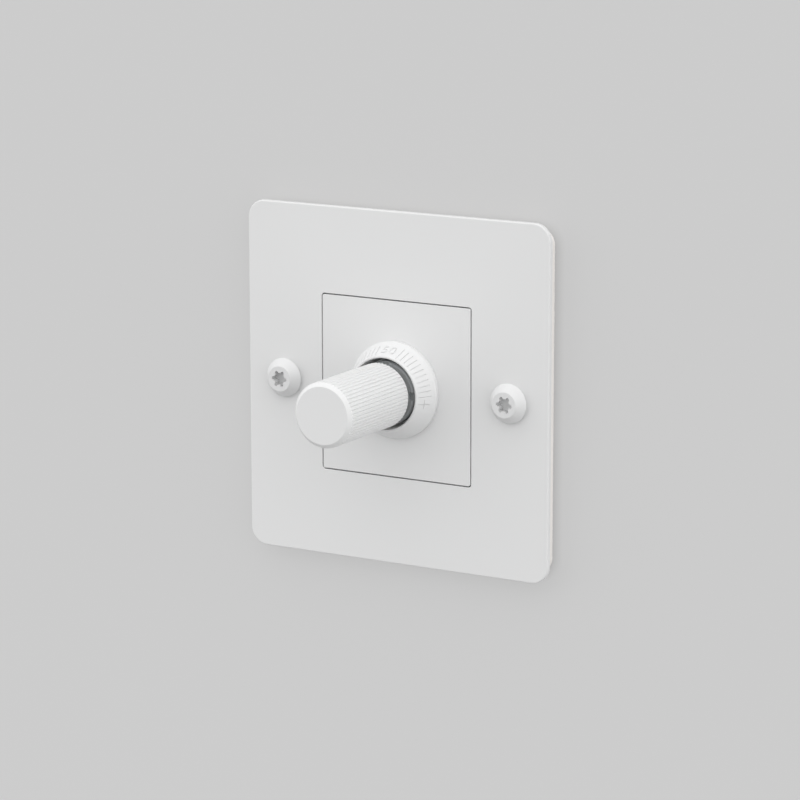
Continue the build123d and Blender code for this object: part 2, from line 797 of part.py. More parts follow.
parts = {
    "face_plate": make_face_plate(),
    "insert_plate": make_insert_plate(),
    "backing_frame": make_backing_frame(),
    "adapter_frame": make_adapter_frame(),
    "carrier_plate": make_carrier_plate(),
    "fixing_screw_left": make_fixing_screw(-screw_pitch / 2, screw_turns[0]),
    "fixing_screw_right": make_fixing_screw(screw_pitch / 2, screw_turns[1]),
    "dial_ring": make_dial_ring(),
    "lock_washer": make_lock_washer(),
    "bush_nut": make_bush_nut(),
    "threaded_bush": make_threaded_bush(),
    "knob": make_knob(),
    "knob_bushing": make_knob_bushing(),
    "knob_grip_ring": make_grip_ring(),
    "spindle": make_spindle(),
    "spindle_clip": make_spindle_clip(),
    "control_case": make_control_case(),
    "track_board": make_track_board(),
    "control_rotor": make_control_rotor(),
    "wiper_spring": make_wiper_spring(),
    "switch_case": make_switch_case(),
    "switch_plunger": make_switch_plunger(),
    "contact_bridge": make_contact_bridge(),
    "fixed_contacts": make_fixed_contacts(),
    "return_spring": make_return_spring(),
    "module_housing": make_module_housing(),
    "housing_screw_1": make_housing_screw(-1),
    "housing_screw_2": make_housing_screw(1),
    "circuit_board": make_circuit_board(),
    "film_capacitor": make_film_capacitor(),
    "smoothing_capacitor": make_smoothing_capacitor(),
    "choke_core": make_choke_core(),
    "choke_winding": make_choke_winding(),
    "heat_sink": make_heat_sink(),
    "fuse": make_fuse(),
    "fuse_clip_upper": make_fuse_clip(1),
    "fuse_clip_lower": make_fuse_clip(-1),
    "controller_chip": make_controller_chip(),
    "terminal_block": make_terminal_block(),
}
for number, side in enumerate((-1, 1), start=1):
    parts[f"power_transistor_{number}"] = make_power_transistor(side * transistor_pitch / 2)
for number, pole_x in enumerate(pole_places(), start=1):
    parts[f"terminal_clamp_{number}"] = make_terminal_clamp(pole_x)
    parts[f"terminal_screw_{number}"] = make_terminal_screw(pole_x)

os.makedirs("parts", exist_ok=True)
for name, part in parts.items():
    export_step(part, f"parts/{name}.step")
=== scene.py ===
import json
import math

import bpy
from mathutils import Matrix, Vector


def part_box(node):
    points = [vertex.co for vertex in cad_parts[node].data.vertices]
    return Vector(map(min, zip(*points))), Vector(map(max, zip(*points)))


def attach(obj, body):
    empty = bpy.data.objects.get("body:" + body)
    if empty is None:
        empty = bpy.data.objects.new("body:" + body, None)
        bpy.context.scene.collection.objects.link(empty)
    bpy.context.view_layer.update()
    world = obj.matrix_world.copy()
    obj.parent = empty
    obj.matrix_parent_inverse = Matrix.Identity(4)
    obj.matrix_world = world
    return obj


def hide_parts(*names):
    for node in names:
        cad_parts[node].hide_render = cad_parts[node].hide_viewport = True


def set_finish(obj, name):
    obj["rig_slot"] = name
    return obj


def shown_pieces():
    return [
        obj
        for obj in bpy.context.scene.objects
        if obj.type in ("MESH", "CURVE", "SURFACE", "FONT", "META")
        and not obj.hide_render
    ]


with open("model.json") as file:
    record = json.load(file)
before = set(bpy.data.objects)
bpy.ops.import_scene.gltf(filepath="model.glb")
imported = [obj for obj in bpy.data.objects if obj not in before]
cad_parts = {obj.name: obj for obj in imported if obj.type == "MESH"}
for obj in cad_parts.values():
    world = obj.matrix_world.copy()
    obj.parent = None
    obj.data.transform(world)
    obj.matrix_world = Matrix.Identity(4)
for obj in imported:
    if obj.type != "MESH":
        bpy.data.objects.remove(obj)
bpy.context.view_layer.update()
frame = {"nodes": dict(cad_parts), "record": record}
print("frame loaded with", len(frame["nodes"]), "nodes")

mm = 0.001
quarterTurn = math.radians(90)
toRoom, toWall = -1, 1      # the room is on the -Y side of every plane
mergeReach = 0.002 * mm     # vertices closer than this become one
samePlane = 0.01 * mm       # faces and edges closer than this lie in one plane
halfRound = 0.499           # share of a slot's width that rounds its ends fully
plateLow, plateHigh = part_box("face_plate")
faceY = plateLow.y          # the plane of the face plate's front
plateBackY = plateHigh.y


# Modelling helpers

def makeActive(piece):
    bpy.ops.object.select_all(action="DESELECT")
    piece.select_set(True)
    bpy.context.view_layer.objects.active = piece


def bakePlace(piece, name):
    # the place goes into the mesh and the object stays at the origin
    makeActive(piece)
    bpy.ops.object.transform_apply(location=True, rotation=True, scale=True)
    piece.name = name
    piece.data.name = name
    return piece


def editMode(piece, kind):
    makeActive(piece)
    bpy.ops.object.mode_set(mode="EDIT")
    bpy.ops.mesh.select_mode(type=kind)


def objectMode():
    bpy.ops.object.mode_set(mode="OBJECT")


def pick(piece, kind, test):
    # leaves the piece in edit mode with only the matching parts selected
    editMode(piece, kind)
    bpy.ops.mesh.select_all(action="DESELECT")
    objectMode()
    mesh = piece.data
    parts = {"VERT": mesh.vertices, "EDGE": mesh.edges, "FACE": mesh.polygons}[kind]
    for part in parts:
        part.select = test(part)
    bpy.ops.object.mode_set(mode="EDIT")


def endsOf(piece, edge):
    return [piece.data.vertices[index].co for index in edge.vertices]


def recalculate(piece):
    editMode(piece, "VERT")
    bpy.ops.mesh.select_all(action="SELECT")
    bpy.ops.mesh.remove_doubles(threshold=mergeReach)
    bpy.ops.mesh.normals_make_consistent(inside=False)
    objectMode()


def applyModifier(piece, kind, **settings):
    makeActive(piece)
    modifier = piece.modifiers.new(kind.lower(), kind)
    for key, value in settings.items():
        setattr(modifier, key, value)
    bpy.ops.object.modifier_apply(modifier=modifier.name)


def cutWith(piece, cutter, operation="DIFFERENCE"):
    applyModifier(piece, "BOOLEAN", operation=operation, object=cutter, solver="EXACT")
    bpy.data.objects.remove(cutter)


def smooth(piece, sharperThan=32):
    # flat faces keep their own normal, so that only the rounded edges shade round
    makeActive(piece)
    bpy.ops.object.shade_smooth_by_angle(angle=math.radians(sharperThan))
    applyModifier(piece, "WEIGHTED_NORMAL", keep_sharp=True, weight=80)


def joined(pieces, name):
    bpy.ops.object.select_all(action="DESELECT")
    for piece in pieces:
        piece.select_set(True)
    bpy.context.view_layer.objects.active = pieces[0]
    bpy.ops.object.join()
    return bakePlace(bpy.context.object, name)


def copyOf(piece, name, shift=(0, 0, 0), turn=0):
    makeActive(piece)
    bpy.ops.object.duplicate()
    twin = bpy.context.object
    twin.rotation_euler.y = math.radians(turn)
    twin.location = shift
    return bakePlace(twin, name)


def addBox(name, low, high):
    low, high = Vector(low), Vector(high)
    bpy.ops.mesh.primitive_cube_add(size=1, location=(low + high) / 2)
    bpy.context.object.scale = high - low
    return bakePlace(bpy.context.object, name)


def addPeg(name, start, end, radius, steps=48):
    start, end = Vector(start), Vector(end)
    turn = (end - start).to_track_quat("Z", "Y").to_euler()
    bpy.ops.mesh.primitive_cylinder_add(vertices=steps, radius=radius, depth=(end - start).length,
                                        location=(start + end) / 2, rotation=turn)
    return bakePlace(bpy.context.object, name)


def turnProfile(name, profile, steps=192, closed=False):
    # profile lists (radius, y) from ring to ring; a closed one comes back to its first ring
    radius, y = profile[0]
    fill = "NOTHING" if closed else "NGON"
    bpy.ops.mesh.primitive_circle_add(vertices=steps, radius=radius, location=(0, y, 0),
                                      rotation=(quarterTurn, 0, 0), fill_type=fill)
    piece = bakePlace(bpy.context.object, name)
    editMode(piece, "EDGE")
    bpy.ops.mesh.select_all(action="SELECT")
    for nextRadius, nextY in profile[1:] + (profile[:1] if closed else []):
        bpy.ops.mesh.extrude_edges_move(TRANSFORM_OT_translate={"value": (0, nextY - y, 0)})
        share = nextRadius / radius
        bpy.ops.transform.resize(value=(share, 1, share), center_override=(0, nextY, 0))
        radius, y = nextRadius, nextY
    if not closed:
        bpy.ops.mesh.edge_face_add()
    objectMode()
    recalculate(piece)
    return piece


def roundedPlate(name, width, height, corner, y0, y1, segments=14):
    # a cube drawn to size whose four long corners are rounded, or cut off with one segment
    plate = addBox(name, (-width / 2, y0, -height / 2), (width / 2, y1, height / 2))

    def isCorner(edge):
        a, b = endsOf(plate, edge)
        return abs(a.y - b.y) > (y1 - y0) / 2

    pick(plate, "EDGE", isCorner)
    bpy.ops.mesh.bevel(offset=corner, offset_type="OFFSET", segments=segments, affect="EDGES")
    objectMode()
    return plate


def pickEnd(piece, y, facing):
    def isEnd(face):
        return abs(face.center.y - y) < samePlane and face.normal.y * facing > 0.9

    pick(piece, "FACE", isEnd)


def roundOutline(plate, y, edge, facing, segments=5):
    # rounds the outline of one side of a plate that nothing has been cut from yet
    pickEnd(plate, y, facing)
    bpy.ops.mesh.region_to_loop()
    bpy.ops.mesh.bevel(offset=edge, offset_type="OFFSET", segments=segments, affect="EDGES")
    objectMode()


def flareEnd(cutter, y, edge, facing):
    # widens the end of a cutter, so that its hole gets a small chamfer, and carries it on
    pickEnd(cutter, y, facing)
    width, _, height = cutter.dimensions
    bpy.ops.mesh.extrude_region_move(TRANSFORM_OT_translate={"value": (0, facing * edge, 0)})
    growth = (1 + 2 * edge / width, 1, 1 + 2 * edge / height)
    bpy.ops.transform.resize(value=growth, center_override=(0, y, 0))
    bpy.ops.mesh.extrude_region_move(TRANSFORM_OT_translate={"value": (0, facing * mm, 0)})
    objectMode()
    recalculate(cutter)
    return cutter


def holeCutter(radius, flare, depth, place, outward, steps=64):
    # a peg with a wider mouth: place is on the surface, and outward points away from it
    cutter = turnProfile("cutter", [(radius, -depth), (radius, -flare), (radius + flare, 0),
                                    (radius + flare, mm)], steps)
    cutter.rotation_euler = Vector(outward).to_track_quat("Y", "Z").to_euler()
    cutter.location = place
    return bakePlace(cutter, "cutter")


def swapIn(piece, body, slotName, *nodes):
    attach(piece, body)
    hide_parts(*nodes)
    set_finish(piece, slotName)


# Face plate

facePlate = {"corner": 4.3 * mm, "edge": 0.35 * mm, "apertureCorner": 0.8 * mm, "groove": 0.3 * mm,
             "holeEdge": 0.08 * mm, "screwHole": 2.15 * mm, "screwX": 30 * mm}
insertLow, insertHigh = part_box("insert_plate")


def makeFacePlate():
    s = facePlate
    width, height = plateHigh.x - plateLow.x, plateHigh.z - plateLow.z
    plate = roundedPlate("plate_face", width, height, s["corner"], faceY, plateBackY, 20)
    roundOutline(plate, faceY, s["edge"], toRoom)
    holeWidth = insertHigh.x - insertLow.x + 2 * s["groove"]
    holeHeight = insertHigh.z - insertLow.z + 2 * s["groove"]
    edgeY = faceY + s["holeEdge"]
    cutter = roundedPlate("cutter", holeWidth, holeHeight, s["apertureCorner"], edgeY,
                          plateBackY + mm, 6)
    cutWith(plate, flareEnd(cutter, edgeY, s["holeEdge"], toRoom))
    for side in (-1, 1):
        place = (side * s["screwX"], faceY, 0)
        cutWith(plate, holeCutter(s["screwHole"], s["holeEdge"], 3 * mm, place, (0, toRoom, 0)))
    smooth(plate)
    swapIn(plate, "base", "white_plate", "face_plate")


makeFacePlate()
print("face plate done")


# Insert plate in the aperture

insertPlate = {"corner": 0.5 * mm, "edge": 0.12 * mm, "bore": 5.15 * mm}


def makeInsertPlate():
    s = insertPlate
    width, height = insertHigh.x - insertLow.x, insertHigh.z - insertLow.z
    plate = roundedPlate("plate_insert", width, height, s["corner"], faceY, plateBackY, 6)
    roundOutline(plate, faceY, s["edge"], toRoom, 3)
    cutWith(plate, addPeg("cutter", (0, faceY - mm, 0), (0, plateBackY + mm, 0), s["bore"]))
    smooth(plate)
    swapIn(plate, "base", "white_plate", "insert_plate")


makeInsertPlate()
print("insert plate done")


# Dial ring with its engraved scale

dialRing = {"lip": 0.3 * mm, "skirt": 1.2 * mm, "rimRadius": 8.85 * mm, "mouthRadius": 8.4 * mm,
            "mouthEdge": 0.2 * mm, "floorRadius": 7.8 * mm, "floorThick": 1.0 * mm, "bore": 5.15 * mm,
            "rounding": 0.08 * mm, "turn": 2.5, "tickCount": 11, "tickFirst": 17.5, "tickStep": 7.0,
            "tickWide": 0.16 * mm, "tickDeep": 0.17 * mm, "tickShort": 3.2 * mm, "tickLong": 3.7 * mm,
            "tickRise": 0.2 * mm, "signTurn": 98.0, "signLong": 3.2 * mm, "signWide": 2.4 * mm,
            "figureTall": 2.5 * mm, "figureGap": 11.5, "fontShare": 1.4}


def ringSlope():
    # radius and y of the sloping face's foot and head
    s = dialRing
    low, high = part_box("dial_ring")
    foot = Vector((high.x - s["lip"], faceY - s["skirt"] - s["lip"]))
    head = Vector((s["rimRadius"], low.y))
    return foot, head


def slopePlace(degrees):
    # a frame on the slope: x runs clockwise round the ring, y down the slope, z out of it
    foot, head = ringSlope()
    up = (head - foot).normalized()
    middle = (head + foot) / 2 + up * dialRing["tickRise"]
    sideways = Vector((1, 0, 0))
    outward = Vector((0, up.x, -up.y))
    place = Matrix((sideways, outward.cross(sideways), outward)).transposed().to_4x4()
    place.translation = Vector((0, middle.y, middle.x))
    return Matrix.Rotation(math.radians(degrees + dialRing["turn"]), 4, "Y") @ place


def slopeMark(degrees, wide, tall):
    bpy.ops.mesh.primitive_cube_add(size=1)
    mark = bpy.context.object
    mark.matrix_world = slopePlace(degrees) @ Matrix.Diagonal((wide, tall, 2 * dialRing["tickDeep"], 1))
    return bakePlace(mark, "mark")


def slopeFigure(degrees, figure):
    s = dialRing
    bpy.ops.object.text_add()
    text = bpy.context.object
    text.data.body = figure
    text.data.size = s["figureTall"] * s["fontShare"]
    text.data.align_x = "CENTER"
    text.data.align_y = "CENTER"
    text.data.extrude = s["tickDeep"]
    makeActive(text)
    bpy.ops.object.convert(target="MESH")
    text = bpy.context.object
    text.matrix_world = slopePlace(degrees)
    return bakePlace(text, "figure")


def makeDialRing():
    s = dialRing
    low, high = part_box("dial_ring")
    foot, head = ringSlope()
    r, bevel = s["rounding"], s["mouthEdge"]
    floorY = faceY - s["floorThick"]
    profile = [(s["bore"], faceY), (high.x - r, faceY), (high.x, faceY - r),
               (high.x, faceY - s["skirt"] + r), (high.x - r, faceY - s["skirt"]),
               (foot.x, foot.y), (head.x + 0.5 * r, head.y + 0.8 * r), (head.x - 0.5 * r, head.y),
               (s["mouthRadius"] + bevel, head.y),
               (s["mouthRadius"] + 0.3 * bevel, head.y + 0.3 * bevel),
               (s["mouthRadius"], head.y + bevel), (s["floorRadius"], floorY), (s["bore"], floorY)]
    ring = turnProfile("ring_dial", profile, 256, closed=True)
    marks = []
    for side in (-1, 1):
        for index in range(s["tickCount"]):
            isEnd = index in (0, s["tickCount"] - 1)
            tall = s["tickLong"] if isEnd else s["tickShort"]
            degrees = side * (s["tickFirst"] + s["tickStep"] * index)
            marks.append(slopeMark(degrees, s["tickWide"], tall))
        marks.append(slopeMark(side * s["signTurn"], s["tickWide"], s["signLong"]))
    cutWith(ring, joined(marks, "cutter"))
    cutWith(ring, slopeMark(s["signTurn"], s["signWide"], s["tickWide"]))
    for side, figure in ((-1, "5"), (1, "0")):
        cutWith(ring, slopeFigure(side * s["figureGap"] / 2, figure))
    smooth(ring, 24)
    swapIn(ring, "base", "white_ring", "dial_ring")


makeDialRing()
print("dial ring done")


# Knob: straight flutes between a smooth collar and a smooth chamfer

knob = {"flutes": 54, "stepsPerFlute": 8, "fluteDepth": 0.22 * mm,
        "fluteForm": (0, 0, 0, 0.55, 1, 0.55, 0, 0), "frontShare": 7.6 / 7.65,
        "chamfer": 0.95 * mm, "rounding": 0.07 * mm, "wall": 1.5 * mm, "cap": 2.0 * mm,
        "hub": 5.2 * mm, "hubInset": 0.8 * mm, "bushing": 4.1 * mm, "collar": 0.8 * mm,
        "collarStep": 0.3 * mm, "collarRound": 0.3 * mm,
        "ribThick": 1.0 * mm, "ribInset": 4.0 * mm}


def makeFlutedBar(rearR, rearY, frontY):
    s = knob
    bpy.ops.mesh.primitive_circle_add(vertices=s["flutes"] * s["stepsPerFlute"], radius=rearR,
                                      location=(0, rearY, 0), rotation=(quarterTurn, 0, 0),
                                      fill_type="NGON")
    bar = bakePlace(bpy.context.object, "knob_body")
    for step, share in enumerate(s["fluteForm"]):
        if share == 0:
            continue
        pick(bar, "VERT", lambda vertex: vertex.index % s["stepsPerFlute"] == step)
        scale = 1 - share * s["fluteDepth"] / rearR
        bpy.ops.transform.resize(value=(scale, 1, scale), center_override=(0, rearY, 0))
        objectMode()
    pick(bar, "FACE", lambda face: True)
    bpy.ops.mesh.extrude_region_move(TRANSFORM_OT_translate={"value": (0, frontY - rearY, 0)})
    bpy.ops.transform.resize(value=(s["frontShare"], 1, s["frontShare"]),
                             center_override=(0, frontY, 0))
    objectMode()
    recalculate(bar)
    return bar


def makeKnob():
    s = knob
    low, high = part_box("knob")
    rearY, frontY, rearR = high.y, low.y, high.x
    frontR = rearR * s["frontShare"]
    body = makeFlutedBar(rearR, rearY, frontY)
    # the turned outline that the flutes run out into
    faceR, chamferY, r = frontR - s["chamfer"], frontY + s["chamfer"], s["rounding"]
    collarR = rearR - s["collarStep"]
    envelope = turnProfile("envelope", [
        (collarR - s["collarRound"], rearY),
        (collarR - 0.3 * s["collarRound"], rearY - 0.3 * s["collarRound"]),
        (collarR, rearY - s["collarRound"]), (collarR, rearY - s["collar"]),
        (rearR, rearY - s["collar"]), (frontR, chamferY + r),
        (frontR - 0.3 * r, chamferY), (faceR + 0.7 * r, frontY + 0.7 * r),
        (faceR + 0.2 * r, frontY + 0.3 * r), (faceR - r, frontY)], 256)
    cutWith(body, envelope, "INTERSECT")
    capY, hubY = frontY + s["cap"], rearY - s["hubInset"]
    innerRear, innerFront = rearR - s["wall"], frontR - s["wall"]
    hollow = turnProfile("hollow", [
        (innerRear + mm, rearY + mm), (innerRear, rearY), (innerFront, capY), (s["hub"], capY),
        (s["hub"], hubY), (s["bushing"], hubY), (s["bushing"], rearY + mm)], 96, closed=True)
    for index in range(4):
        # the ribs that tie the hub to the wall stay when the hollow is cut
        rib = addBox("rib", (s["bushing"], capY - mm, -s["ribThick"] / 2),
                     (innerRear + 2 * mm, rearY - s["ribInset"], s["ribThick"] / 2))
        rib.rotation_euler.y = index * quarterTurn
        cutWith(hollow, bakePlace(rib, "rib"))
    cutWith(body, hollow)
    cutWith(body, addPeg("bore", (0, capY, 0), (0, rearY + 2 * mm, 0), s["bushing"], 96))
    smooth(body, 28)
    swapIn(body, "knob", "white_knob", "knob")


makeKnob()
print("knob done")


# Fixing screws: six-lobe heads on threaded shanks

fixingScrew = {"headRadius": 4.65 * mm, "faceRadius": 3.05 * mm, "seatRadius": 4.15 * mm,
               "rimHigh": 0.8 * mm, "rounding": 0.14 * mm, "rimRound": 0.08 * mm, "neck": 1.55 * mm,
               "thread": 1.75 * mm, "root": 1.4 * mm, "pitch": 0.6 * mm, "ringsPerPitch": 8,
               "shankSteps": 32, "tip": 1.75 * mm, "driveRadius": 2.05 * mm, "driveLobe": 0.46 * mm,
               "driveCore": 1.48 * mm, "driveDeep": 2.0 * mm, "driveTurn": -3.0, "twinTurn": 1.5,
               "ridgeHalf": 0.42, "ridgeSlope": 0.32, "neckLap": 0.3 * mm, "threadStart": 0.4 * mm,
               "tipTaper": 0.6, "tipShare": 0.38}


def makeDriveCutter(y0, y1):
    s = fixingScrew
    star = addPeg("star", (0, y0, 0), (0, y1, 0), s["driveCore"], 48)
    reach = s["driveRadius"] - s["driveLobe"]
    for index in range(6):
        angle = math.radians(s["driveTurn"] + 60 * index)
        x, z = reach * math.cos(angle), reach * math.sin(angle)
        cutWith(star, addPeg("lobe", (x, y0, z), (x, y1, z), s["driveLobe"], 20), "UNION")
    return star


def windThread(shank, y0, y1):
    # rings of a finely turned shank grow to the thread's crest, level by level up a helix
    s = fixingScrew
    levels = s["shankSteps"]

    def levelOf(vertex):
        turned = math.atan2(vertex.co.z, vertex.co.x) / (2 * math.pi)
        return round(((vertex.co.y - y0) / s["pitch"] + turned) * levels) % levels

    for level in range(levels):
        share = min(1, (s["ridgeHalf"] - abs(level / levels - 0.5)) / s["ridgeSlope"])
        if share <= 0:
            continue
        pick(shank, "VERT", lambda vertex: y0 < vertex.co.y < y1 and levelOf(vertex) == level)
        scale = 1 + share * (s["thread"] / s["root"] - 1)
        bpy.ops.transform.resize(value=(scale, 1, scale), center_override=(0, y0, 0))
        objectMode()


def makeFixingScrew():
    s = fixingScrew
    low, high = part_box("fixing_screw_left")
    topY, tipY, rimY = low.y, high.y, faceY - s["rimHigh"]
    r, edge, face = s["rounding"], s["rimRound"], s["faceRadius"]
    head = turnProfile("head", [
        (face - r, topY), (face - 0.45 * r, topY + 0.06 * r), (face - 0.1 * r, topY + 0.24 * r),
        (face + 0.3 * r, topY + 0.62 * r), (s["headRadius"] - edge, rimY - edge),
        (s["headRadius"], rimY), (s["headRadius"] - edge, rimY + edge), (s["seatRadius"], faceY)], 128)
    cutWith(head, makeDriveCutter(topY - mm, topY + s["driveDeep"]))
    smooth(head, 30)
    # a plain neck down to the wall, then rings close enough together to carry the thread
    step = s["pitch"] / s["ringsPerPitch"]
    threadY, coneY = s["threadStart"], tipY - s["tip"]
    rings = [(s["neck"], faceY - s["neckLap"]), (s["neck"], 0)]
    for index in range(int((tipY - threadY) / step)):
        y = threadY + index * step
        rings.append((s["root"] * (1 - s["tipTaper"] * max(0, (y - coneY) / s["tip"])), y))
    rings.append((s["root"] * s["tipShare"], tipY))
    shank = turnProfile("shank", rings, s["shankSteps"])
    windThread(shank, threadY, tipY - 0.5 * s["pitch"])
    smooth(shank, 40)
    return joined([head, shank], "screw_fixing")


def placeFixingScrews():
    s = fixingScrew
    screw = makeFixingScrew()
    half = facePlate["screwX"]
    left = copyOf(screw, "screw_fixing_left", (-half, 0, 0))
    right = copyOf(screw, "screw_fixing_right", (half, 0, 0), s["twinTurn"])
    bpy.data.objects.remove(screw)
    swapIn(left, "base", "white_screw", "fixing_screw_left")
    swapIn(right, "base", "white_screw", "fixing_screw_right")


placeFixingScrews()
print("fixing screws done")


# Ring nut in the dial ring's well

bushNut = {"radius": 7.5 * mm, "bore": 5.1 * mm, "edge": 0.4 * mm, "innerEdge": 0.35 * mm, "slots": 4,
           "slotWide": 1.8 * mm, "slotDeep": 1.2 * mm, "slotHigh": 0.6 * mm, "edgeStep": 0.1 * mm,
           "edgeDrop": 0.04 * mm, "edgeDraw": 0.06 * mm, "rearEdge": 0.2 * mm}


def makeBushNut():
    s = bushNut
    low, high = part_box("bush_nut")
    frontY, backY, radius = low.y, high.y, s["radius"]
    nut = turnProfile("nut_bush", [
        (s["bore"] + s["innerEdge"], frontY), (radius - s["edge"] - s["edgeStep"], frontY),
        (radius - s["edge"], frontY + s["edgeDrop"]), (radius - s["edgeDraw"], frontY + s["edge"]),
        (radius, frontY + s["edge"] + s["edgeStep"]), (radius, backY - s["rearEdge"]),
        (radius - s["rearEdge"], backY),
        (s["bore"], backY), (s["bore"], frontY + s["innerEdge"])], 128, closed=True)
    for index in range(s["slots"]):
        slot = addBox("slot", (radius - s["slotDeep"], frontY - mm, -s["slotWide"] / 2),
                      (radius + mm, frontY + s["slotHigh"], s["slotWide"] / 2))
        slot.rotation_euler.y = index * quarterTurn
        cutWith(nut, bakePlace(slot, "slot"))
    smooth(nut, 30)
    swapIn(nut, "base", "black_steel", "bush_nut")


makeBushNut()
print("ring nut done")


# Backing frame that shows behind the face plate's edge

backingFrame = {"corner": 3.5 * mm, "edge": 0.4 * mm, "openWide": 48.1 * mm, "openTall": 50.3 * mm,
                "openCorner": 2.0 * mm, "pocketWide": 70.5 * mm, "pocketDeep": 1.5 * mm,
                "pocketCorner": 3.0 * mm, "holeEdge": 0.2 * mm, "sideLap": 0.6 * mm}


def makeBackingFrame():
    s = backingFrame
    low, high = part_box("backing_frame")
    width, height = high.x - low.x + 2 * s["sideLap"], high.z - low.z
    border = roundedPlate("frame_backing", width, height, s["corner"], low.y, high.y, 12)
    roundOutline(border, high.y, s["edge"], toWall, 4)
    pocket = roundedPlate("cutter", s["pocketWide"], s["pocketWide"], s["pocketCorner"],
                          high.y - s["pocketDeep"], high.y - s["holeEdge"], 6)
    cutWith(border, flareEnd(pocket, high.y - s["holeEdge"], s["holeEdge"], toWall))
    cutWith(border, roundedPlate("cutter", s["openWide"], s["openTall"], s["openCorner"], low.y - mm,
                                 high.y + mm, 6))
    for side in (-1, 1):
        x = side * facePlate["screwX"]
        cutWith(border, addPeg("hole", (x, low.y - mm, 0), (x, high.y + mm, 0), facePlate["screwHole"]))
    smooth(border)
    swapIn(border, "base", "frame_plastic", "backing_frame")


makeBackingFrame()
print("backing frame done")


# Stamped steel carrier

carrier = {"corner": 3.0 * mm, "edge": 0.15 * mm, "bore": 5.15 * mm, "slotLong": 7.0 * mm,
           "slotWide": 4.3 * mm, "hookZ": 17.0 * mm, "hookWide": 4.5 * mm, "hookTall": 2.9 * mm,
           "bossX": 17.6 * mm, "bossZ": 12.4 * mm, "bossHole": 1.45 * mm}


def slotCutter(x, z, wide, tall, y0, y1, flare):
    cutter = roundedPlate("cutter", wide, tall, min(wide, tall) * halfRound, y0, y1 - flare, 10)
    flareEnd(cutter, y1 - flare, flare, toWall)
    cutter.location = (x, 0, z)
    return bakePlace(cutter, "cutter")


def makeCarrier():
    s = carrier
    low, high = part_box("carrier_plate")
    sheet = roundedPlate("carrier_steel", high.x - low.x, high.z - low.z, s["corner"], low.y,
                         high.y, 10)
    roundOutline(sheet, high.y, s["edge"], toWall, 3)
    cutWith(sheet, holeCutter(s["bore"], s["edge"], 3 * mm, (0, high.y, 0), (0, toWall, 0), 96))
    half = facePlate["screwX"]
    span = (low.y - mm, high.y, s["edge"])
    for side in (-1, 1):
        cutWith(sheet, slotCutter(side * half, 0, s["slotWide"], s["slotLong"], *span))
        cutWith(sheet, slotCutter(0, side * half, s["slotLong"], s["slotWide"], *span))
        z = side * s["hookZ"]
        cutWith(sheet, addBox("cutter", (-s["hookWide"] / 2, low.y - mm, z - s["hookTall"] / 2),
                              (s["hookWide"] / 2, high.y + mm, z + s["hookTall"] / 2)))
        place = (side * s["bossX"], high.y, -side * s["bossZ"])
        cutWith(sheet, holeCutter(s["bossHole"], s["edge"], 3 * mm, place, (0, toWall, 0), 32))
    smooth(sheet)
    swapIn(sheet, "base", "zinc_steel", "carrier_plate")


makeCarrier()
print("carrier done")


# Moulded housing behind the wall

housing = {"wall": 1.8 * mm, "chamfer": 6.5 * mm, "edge": 0.9 * mm, "ventCount": 5,
           "ventPitch": 5.2 * mm, "ventWide": 1.6 * mm, "ventFront": 5.0 * mm,
           "ventLong": 15.0 * mm, "ventEdge": 0.25 * mm, "bossRadius": 2.2 * mm, "bossLap": 0.3 * mm,
           "webInset": 0.5 * mm, "screwHole": 1.2 * mm, "screwDeep": 12 * mm, "poleCount": 3,
           "polePitch": 9.0 * mm, "wireEntry": 2.1 * mm, "wireFlare": 0.5 * mm,
           "wireBack": 2.55 * mm, "driverHole": 2.6 * mm, "driverFlare": 0.45 * mm}


def makeHousingShell(low, high):
    # an open tray with eight sides, rounded where it goes into the device box
    s = housing
    width, backY = high.x - low.x, high.y
    shell = roundedPlate("housing_module", width, width, s["chamfer"], low.y, backY, 1)

    def isOuterEdge(edge):
        a, b = endsOf(shell, edge)
        return max(a.y, b.y) > backY - samePlane

    pick(shell, "EDGE", isOuterEdge)
    bpy.ops.mesh.bevel(offset=s["edge"], offset_type="OFFSET", segments=4, affect="EDGES")
    objectMode()
    recalculate(shell)
    inner = width - 2 * s["wall"]
    innerChamfer = s["chamfer"] - (2 - math.sqrt(2)) * s["wall"]
    cutWith(shell, roundedPlate("cutter", inner, inner, innerChamfer, low.y - mm, backY - s["wall"], 1))
    return shell


def ventCutter(x, half):
    s = housing
    vent = roundedPlate("vent", s["ventWide"], s["ventLong"], s["ventWide"] * halfRound,
                        -s["wall"] - mm, -s["ventEdge"], 8)
    flareEnd(vent, -s["ventEdge"], s["ventEdge"], toWall)
    vent.rotation_euler.x = quarterTurn
    vent.location = (x, s["ventFront"] + s["ventLong"] / 2, half)
    return bakePlace(vent, "vent")


